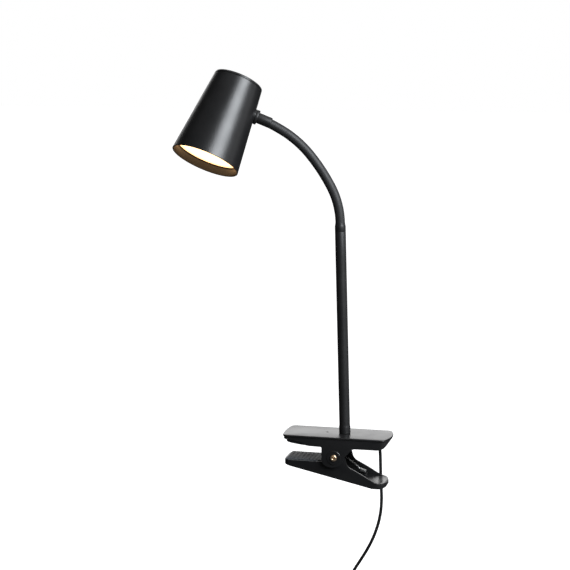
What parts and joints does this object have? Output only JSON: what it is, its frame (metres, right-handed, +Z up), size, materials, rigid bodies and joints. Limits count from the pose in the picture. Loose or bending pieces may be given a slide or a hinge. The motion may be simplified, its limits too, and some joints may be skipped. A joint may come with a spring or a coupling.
{
  "type": "clip-on reading lamp",
  "caption": "Black clip-on reading lamp: sprung clip, rigid stem, curved gooseneck and a tapered swivelling shade with a recessed lit diffuser, on a thin hanging lead.",
  "frame": {"origin": "middle of the upper jaw's flat pad face, where the clip sits on a board's top", "axes": "+Z up along the stem, +X from the jaw tip to the squeezed end of the clip, +Y to the far side, away from the lamp's shade"},
  "size_m": [0.2102, 0.1059, 0.7036],
  "materials": {
    "clip_plastic": "smooth black moulded plastic, glossy on the plate",
    "pad_rubber": "matte dark blue-grey rubber",
    "zinc_steel": "zinc-plated steel",
    "rivet_brass": "brassed steel screw",
    "lead_rubber": "black flexible cable sheath",
    "terminal_white": "white plastic",
    "stem_black": "satin black paint",
    "sleeve_black": "black gooseneck sleeve",
    "shade_black": "satin black powder paint",
    "sink_aluminium": "cast aluminium",
    "pad_thermal": "grey thermal pad",
    "board_white": "white solder mask",
    "emitter_yellow": "yellow phosphor",
    "reflector_white": "white moulded plastic",
    "diffuser_lit": "opal diffuser, lit warm white",
    "lead_red": "red wire insulation",
    "plug_steel": "nickel-plated shell"
  },
  "bodies": {
    "clip": {"upper_jaw": "clip_plastic", "upper_jaw_pad": "pad_rubber", "wiring_cover": "clip_plastic", "cover_screw_1": "zinc_steel", "cover_screw_2": "zinc_steel", "cord_gland": "lead_rubber", "cord_inner": "lead_rubber", "lead_terminal": "terminal_white", "pivot_screw": "rivet_brass", "pivot_nut": "rivet_brass", "pivot_sleeve": "zinc_steel", "clip_spring": "zinc_steel", "stem_tube": "stem_black", "stem_washer": "zinc_steel", "stem_nut": "zinc_steel", "stem_leads": "lead_rubber", "cord_drop": "lead_rubber", "switch_base": "clip_plastic", "switch_cover": "clip_plastic", "cord_hank": "lead_rubber", "hank_tie": "lead_rubber", "usb_plug_body": "clip_plastic", "usb_plug_shell": "plug_steel", "usb_tongue": "terminal_white"},
    "lever": {"lower_jaw": "clip_plastic", "lower_jaw_pad": "pad_rubber", "clip_spring_lower_leg": "zinc_steel"},
    "neck_turner": {"neck_foot": "sleeve_black"},
    "neck_link_1": {"neck_sleeve_1": "sleeve_black", "neck_core_1": "zinc_steel", "neck_leads_1": "lead_rubber"},
    "neck_link_2": {"neck_sleeve_2": "sleeve_black", "neck_core_2": "zinc_steel", "neck_leads_2": "lead_rubber"},
    "neck_link_3": {"neck_sleeve_3": "sleeve_black", "neck_core_3": "zinc_steel", "neck_leads_3": "lead_rubber"},
    "neck_link_4": {"neck_sleeve_4": "sleeve_black", "neck_core_4": "zinc_steel", "neck_leads_4": "lead_rubber", "neck_ferrule": "stem_black", "neck_collar": "stem_black", "swivel_bolt": "zinc_steel", "swivel_washer": "zinc_steel", "swivel_nut": "zinc_steel"},
    "head": {"lamp_shade": "shade_black", "shade_cap": "shade_black", "heat_sink": "sink_aluminium", "thermal_pad": "pad_thermal", "led_board": "board_white", "led_emitter": "emitter_yellow", "board_screw_1": "zinc_steel", "board_screw_2": "zinc_steel", "reflector": "reflector_white", "diffuser": "diffuser_lit", "diffuser_ring": "shade_black", "head_lead_1": "lead_red", "head_lead_2": "lead_rubber"},
    "rocker": {"switch_rocker": "clip_plastic"}
  },
  "joints": [
    {"name": "lever_pivot", "type": "hinge", "parent": "clip", "child": "lever", "pos_m": [0.0211, 0, -0.0101], "axis": [0, 1, 0], "range_deg": [-18, 20], "stiffness_Nm_per_rad": 0.9, "springref_deg": 60.16},
    {"name": "neck_turn", "type": "hinge", "parent": "clip", "child": "neck_turner", "pos_m": [0.02262, -0.00114, 0.21383], "axis": [-0.0265, -0.0056, 0.9996], "range_deg": [-110, 110]},
    {"name": "neck_bend_1", "type": "hinge", "parent": "neck_turner", "child": "neck_link_1", "pos_m": [0.02239, -0.00119, 0.22252], "axis": [0.2079, -0.9781, 0], "range_deg": [-18, 18]},
    {"name": "neck_bend_2", "type": "hinge", "parent": "neck_link_1", "child": "neck_link_2", "pos_m": [0.0136, -0.00306, 0.25727], "axis": [0.2079, -0.9781, 0], "range_deg": [-18, 18]},
    {"name": "neck_bend_3", "type": "hinge", "parent": "neck_link_2", "child": "neck_link_3", "pos_m": [-0.00677, -0.00739, 0.28898], "axis": [0.2079, -0.9781, 0], "range_deg": [-18, 18]},
    {"name": "neck_bend_4", "type": "hinge", "parent": "neck_link_3", "child": "neck_link_4", "pos_m": [-0.03277, -0.01292, 0.31225], "axis": [0.2079, -0.9781, 0], "range_deg": [-18, 18]},
    {"name": "head_swivel", "type": "hinge", "parent": "neck_link_4", "child": "head", "pos_m": [-0.05715, -0.0181, 0.32495], "axis": [-0.904, -0.1922, 0.3819], "range_deg": [-110, 110]},
    {"name": "switch_rock", "type": "hinge", "parent": "clip", "child": "rocker", "pos_m": [0.0265, 0.0163, -0.1897], "axis": [1, 0, 0], "range_deg": [-14, 0]}
  ]
}
